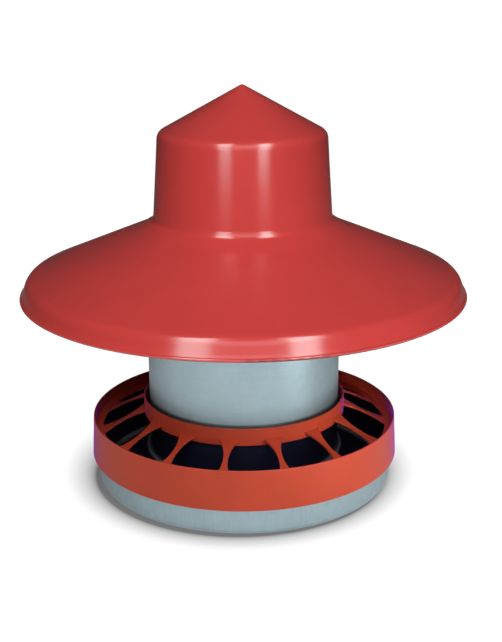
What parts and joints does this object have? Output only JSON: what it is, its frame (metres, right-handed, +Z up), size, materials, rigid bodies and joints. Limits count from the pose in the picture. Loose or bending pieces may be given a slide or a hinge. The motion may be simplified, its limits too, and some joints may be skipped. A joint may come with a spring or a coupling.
{
  "type": "hopper feeder",
  "caption": "Galvanized steel hopper feeder for poultry: a feed tube over a round pan, with a spoked plastic grill ring and a wide plastic rain hat.",
  "frame": {"origin": "on the feeder's axis, in the plane of the floor that the pan stands on", "axes": "+Z up along the tube's axis, +Y towards the tube's seam at the back, +X to the right"},
  "size_m": [0.4554, 0.4554, 0.4091],
  "materials": {
    "galvanized_sheet": "satin galvanized steel sheet with fine rolling lines",
    "rivet_steel": "plain zinc plated steel",
    "ring_plastic": "orange red moulded plastic, soft sheen",
    "hat_plastic": "red moulded plastic, satin gloss"
  },
  "bodies": {
    "root": {"feed_pan": "galvanized_sheet", "feed_cone": "galvanized_sheet", "hopper_tube": "galvanized_sheet", "bracket_1": "galvanized_sheet", "bracket_2": "galvanized_sheet", "bracket_3": "galvanized_sheet", "floor_rivet_1": "rivet_steel", "floor_rivet_2": "rivet_steel", "floor_rivet_3": "rivet_steel", "tube_rivet_1": "rivet_steel", "tube_rivet_2": "rivet_steel", "tube_rivet_3": "rivet_steel", "grill_ring": "ring_plastic", "rain_hat": "hat_plastic"}
  },
  "joints": []
}
